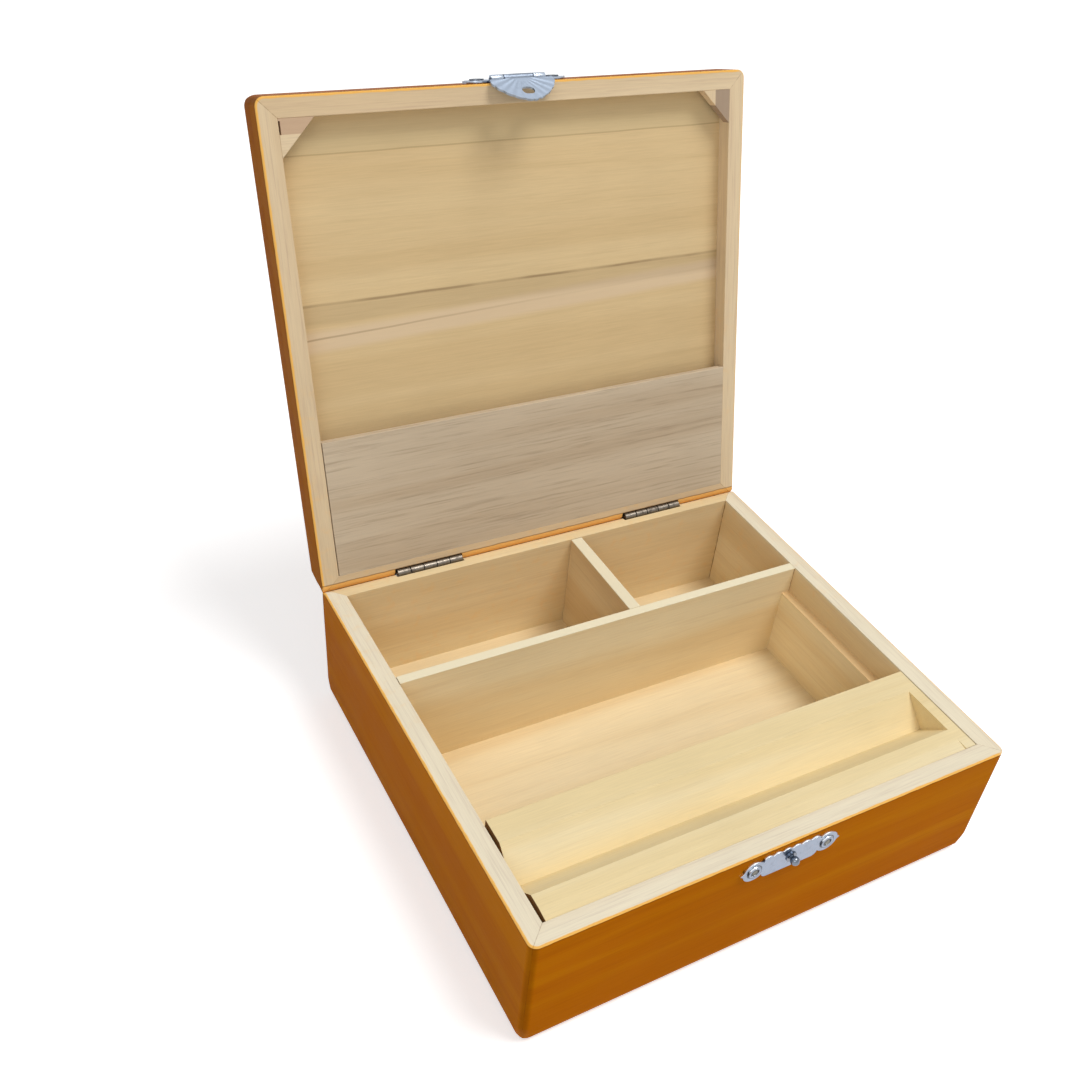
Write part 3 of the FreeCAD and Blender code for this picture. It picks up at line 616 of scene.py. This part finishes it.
# Metal
def nail_dark_rings(nodes, place, nail_z):
    """Dark rings round the two nails of a clasp plate."""
    x, _, z = nodes.split(place)
    from_centre = nodes.math("ABSOLUTE", nodes.math("SUBTRACT", x, CLASP_X))
    across = nodes.math("SUBTRACT", from_centre, CLASP_NAIL_X)
    reach = nodes.distance(across, nodes.math("SUBTRACT", z, nail_z))
    marks = nodes.math("MAXIMUM", nodes.line(reach, *NAIL_RING), nodes.line(reach, *NAIL_HOLLOW))
    return nodes.share(marks, NAIL_RING_SHARE)


def catch_dark_rings(nodes):
    return nail_dark_rings(nodes, nodes.place(), CATCH_Z)


def hasp_dark_rings(nodes):
    return nail_dark_rings(nodes, nodes.shut_lid_place(), HASP_Z)


def knuckle_shade(nodes):
    """Duller plating on the tongue's knuckle."""
    _, _, z = nodes.split(nodes.tongue_place())
    return nodes.share(nodes.ramp(nodes.math("ABSOLUTE", z), *KNUCKLE_EDGE), KNUCKLE_SHARE)


def fan_flutes(nodes):
    """Shallow flutes that spread from the tongue's knuckle to its scalloped edge."""
    x, _, z = nodes.split(nodes.tongue_place())
    angle = nodes.math("ARCTAN2", x, nodes.math("MULTIPLY", z, -1.0))
    wave = nodes.math("SINE", nodes.math("MULTIPLY", angle, FLUTE_COUNT))
    return nodes.math("MULTIPLY", wave, nodes.ramp(nodes.distance(x, z), *FLUTE_EDGE))


def metal(name, plating, darkened=None, painted_highlight=False, relief=None):
    """Plated metal with faint rolling marks, darker patches and worn roughness, and where asked a
    painted highlight on faces that point up.
    """
    plain, dark, roughness, dirt = plating
    nodes = Nodes(name)
    place = nodes.place()
    rolled = nodes.mapping(place, scale=ROLLING_STRETCH)
    marks = nodes.noise(rolled, ROLLING_SCALE, detail=3.0, roughness=0.6)
    patches = nodes.noise(place, DIRT_SCALE, detail=4.0, roughness=0.6)
    tone = nodes.mix(nodes.share(nodes.ramp(patches, *DIRT_EDGE), dirt), plain, dark)
    if darkened is not None:
        tone = nodes.mix(darkened(nodes), tone, dark)
    # A painted highlight: faces that point up are lightened toward near white
    if painted_highlight:
        _, _, up = nodes.split(nodes.surface_direction())
        tone = nodes.mix(nodes.ramp(up, *UPWARD_HIGHLIGHT_EDGE), tone, PAINTED_EDGE_HIGHLIGHT)
    nodes.link(tone, nodes.shader.inputs["Base Color"])
    nodes.shader.inputs["Metallic"].default_value = 1.0
    nodes.link(nodes.spread(patches, *roughness), nodes.shader.inputs["Roughness"])
    normal = nodes.bump(marks, *ROLLING_BUMP)
    if relief is not None:
        normal = nodes.bump(relief(nodes), *FLUTE_BUMP, normal)
    nodes.link(normal, nodes.shader.inputs["Normal"])
    return nodes.material


def ease_edges(piece):
    """Small rounded edges that catch the light, cut inward from the CAD model's sharp ones."""
    weld = piece.modifiers.new("weld", "WELD")
    weld.merge_threshold = WELD_DISTANCE
    bevel = piece.modifiers.new("eased_edges", "BEVEL")
    bevel.width = PLATE_EDGE_WIDTH
    bevel.segments = PLATE_EDGE_SEGMENTS
    bevel.limit_method = "ANGLE"
    bevel.angle_limit = PLATE_EDGE_ANGLE


# The part
def put_material(frame, names, material):
    for name in names:
        piece = frame["nodes"][name]
        piece.data.materials.clear()
        piece.data.materials.append(material)


def dress_stained_boards(frame):
    """Each board has its grain direction, grain shift, kind, bare colours, stain colours and
    fine streaks, and says if it is on the lid."""
    boards = {
        "case_front_wall": ("X", 0.31, "side", RIM_BARE, STAIN_FRONT, 0.35),
        "case_back_wall": ("X", 0.82, "side", CASE_BARE, STAIN_FRONT, 0.15),
        "case_left_wall": ("Y", 1.13, "side", RIM_BARE, STAIN_LEFT, 0.40),
        "case_right_wall": ("Y", 1.71, "side", RIM_BARE, STAIN_FRONT, 0.35),
        "case_floor": ("X", 0.31, "floor", CASE_BARE, STAIN_FRONT, 0.12),
        "lid_front_strip": ("X", 3.11, "side", LID_RIM_BARE, STAIN_LID, 0.40, True),
        "lid_back_strip": ("X", 3.67, "side", LID_RIM_BARE, STAIN_LID, 0.30, True),
        "lid_left_strip": ("Y", 4.19, "side", LID_RIM_BARE, STAIN_LID, 0.50, True),
        "lid_right_strip": ("Y", 4.83, "side", LID_RIM_BARE, STAIN_LID, 0.40, True),
        "lid_panel": ("X", 5.29, "panel", LID_BARE, STAIN_LID, 0.12, True),
    }
    for name, choices in boards.items():
        put_material(frame, [name], stained_wood(name + "_finish", *choices))


def dress_bare_boards(frame):
    """Each board has its grain direction, grain shift, colours and fine streaks, says if it is
    on the lid, and has a figure of its own where it needs one, with painted light on the ledges'
    upper faces and partly painted shade at the tray's end."""
    boards = {
        "cross_divider": ("X", 6.1, DIVIDER_BARE, 0.15, False, divider_figure),
        "rear_divider": ("Y", 6.7, REAR_BARE, 0.15, False, divider_figure),
        "tray_ledge_left": ("Y", 7.3, DIVIDER_BARE, 0.15, False, ledge_painted_light),
        "tray_ledge_right": ("Y", 7.9, DIVIDER_BARE, 0.15, False, ledge_painted_light),
        "tray": ("X", 8.3, TRAY_BARE, 0.10, False, tray_end_grain_and_shade),
        "lid_pocket_board": ("X", 8.9, BOARD_BARE, 0.45, True),
        "lid_gusset_left": ("X", 9.4, LID_RIM_BARE, 0.35, True, left_gusset_figure),
        "lid_gusset_right": ("Y", 9.9, LID_RIM_BARE, 0.35, True, right_gusset_figure),
    }
    for name, choices in boards.items():
        put_material(frame, [name], bare_wood(name + "_finish", *choices))


def dress_metal(frame):
    """The clasp in bright plate, with a painted highlight on the catch plate's upward faces, and the
    hinges and nails in dull plate.
    """
    catch = metal("catch_plating", CATCH_PLATING, catch_dark_rings, painted_highlight=True)
    put_material(frame, ["catch_plate"], catch)
    put_material(frame, ["hasp_plate"], metal("hasp_plating", HASP_PLATING, hasp_dark_rings))
    put_material(frame, ["catch_stud", "hasp_pin"], metal("stud_plating", STUD_PLATING))
    tongue = metal("tongue_plating", TONGUE_PLATING, knuckle_shade, relief=fan_flutes)
    put_material(frame, ["hasp_tongue"], tongue)
    put_material(frame, ["catch_nails", "hasp_nails"], metal("nail_plating", NAIL_PLATING))
    hinge_names = [name for name in frame["nodes"] if name.startswith("hinge_")]
    put_material(frame, hinge_names, metal("hinge_plating", HINGE_PLATING))
    for name in ("catch_plate", "hasp_plate"):
        ease_edges(frame["nodes"][name])


# Studio
def floor_material():
    """A pale floor that is seen and mirrored as white, and still takes the shadow."""
    nodes = Nodes("studio_floor")
    nodes.shader.inputs["Base Color"].default_value = FLOOR_GREY
    nodes.shader.inputs["Roughness"].default_value = FLOOR_ROUGHNESS
    nodes.shader.inputs["Specular IOR Level"].default_value = FLOOR_SPECULAR
    rays = nodes.tree.nodes.new("ShaderNodeLightPath")
    seen = nodes.math("MAXIMUM", rays.outputs["Is Camera Ray"], rays.outputs["Is Glossy Ray"])
    seen = nodes.math("MAXIMUM", seen, rays.outputs["Is Transmission Ray"])
    nodes.shader.inputs["Emission Color"].default_value = WHITE
    nodes.link(nodes.share(seen, FLOOR_GLOW), nodes.shader.inputs["Emission Strength"])
    return nodes.material


def studio_floor():
    reach = FLOOR_REACH
    corner_places = [(-reach, -reach, 0), (reach, -reach, 0), (reach, reach, 0), (-reach, reach, 0)]
    mesh = bpy.data.meshes.new("floor")
    mesh.from_pydata(corner_places, [], [(0, 1, 2, 3)])
    mesh.materials.append(floor_material())
    piece = bpy.data.objects.new("floor", mesh)
    bpy.context.scene.collection.objects.link(piece)


def area_lamp(name, place, size, power):
    data = bpy.data.lights.new(name, "AREA")
    data.shape = "DISK"
    data.size = size
    data.energy = power
    lamp = bpy.data.objects.new(name, data)
    lamp.location = place
    lamp.rotation_mode = "QUATERNION"
    lamp.rotation_quaternion = (Vector(LAMP_TARGET) - Vector(place)).to_track_quat("-Z", "Y")
    bpy.context.scene.collection.objects.link(lamp)


def studio_world():
    """Soft light from all sides, seen and mirrored as white."""
    world = bpy.data.worlds.new("studio")
    world.use_nodes = True
    bpy.context.scene.world = world
    tree = world.node_tree
    background = tree.nodes["Background"]
    background.inputs["Color"].default_value = WHITE
    rays = tree.nodes.new("ShaderNodeLightPath")
    camera_or_glossy = tree.nodes.new("ShaderNodeMath")
    seen = tree.nodes.new("ShaderNodeMath")
    strength = tree.nodes.new("ShaderNodeMapRange")
    camera_or_glossy.operation = "MAXIMUM"
    seen.operation = "MAXIMUM"
    tree.links.new(rays.outputs["Is Camera Ray"], camera_or_glossy.inputs[0])
    tree.links.new(rays.outputs["Is Glossy Ray"], camera_or_glossy.inputs[1])
    tree.links.new(camera_or_glossy.outputs[0], seen.inputs[0])
    tree.links.new(rays.outputs["Is Transmission Ray"], seen.inputs[1])
    tree.links.new(seen.outputs[0], strength.inputs["Value"])
    strength.inputs["To Min"].default_value = WORLD_STRENGTH
    strength.inputs["To Max"].default_value = SEEN_WORLD_STRENGTH
    tree.links.new(strength.outputs["Result"], background.inputs["Strength"])


def camera():
    """The photograph's own camera, with the picture shifted to the photograph's optical centre."""
    data = bpy.data.cameras.new("camera")
    data.sensor_width = SENSOR_MM
    data.lens = FOCAL_PIXELS * SENSOR_MM / IMAGE_PIXELS
    half = IMAGE_PIXELS / 2
    data.shift_x = (half - CENTRE_PIXELS[0]) / IMAGE_PIXELS
    data.shift_y = (CENTRE_PIXELS[1] - half) / IMAGE_PIXELS
    data.clip_start = CAMERA_CLIP
    turn = Matrix((CAMERA_RIGHT, -CAMERA_DOWN, -CAMERA_FORWARD)).transposed()
    piece = bpy.data.objects.new("camera", data)
    piece.matrix_world = Matrix.Translation(CAMERA_PLACE) @ turn.to_4x4()
    bpy.context.scene.collection.objects.link(piece)
    bpy.context.scene.camera = piece


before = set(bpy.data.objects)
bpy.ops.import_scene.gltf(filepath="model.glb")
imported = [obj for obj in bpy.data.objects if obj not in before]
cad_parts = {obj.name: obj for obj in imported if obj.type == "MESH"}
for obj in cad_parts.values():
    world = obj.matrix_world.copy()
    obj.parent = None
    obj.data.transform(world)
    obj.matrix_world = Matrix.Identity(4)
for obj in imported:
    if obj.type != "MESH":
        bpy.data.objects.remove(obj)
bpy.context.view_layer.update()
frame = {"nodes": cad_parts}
bpy.context.scene.view_settings.view_transform = "Standard"
dress_stained_boards(frame)
dress_bare_boards(frame)
dress_metal(frame)
studio_floor()
area_lamp("key", *KEY_LAMP)
area_lamp("fill", *FILL_LAMP)
studio_world()
camera()
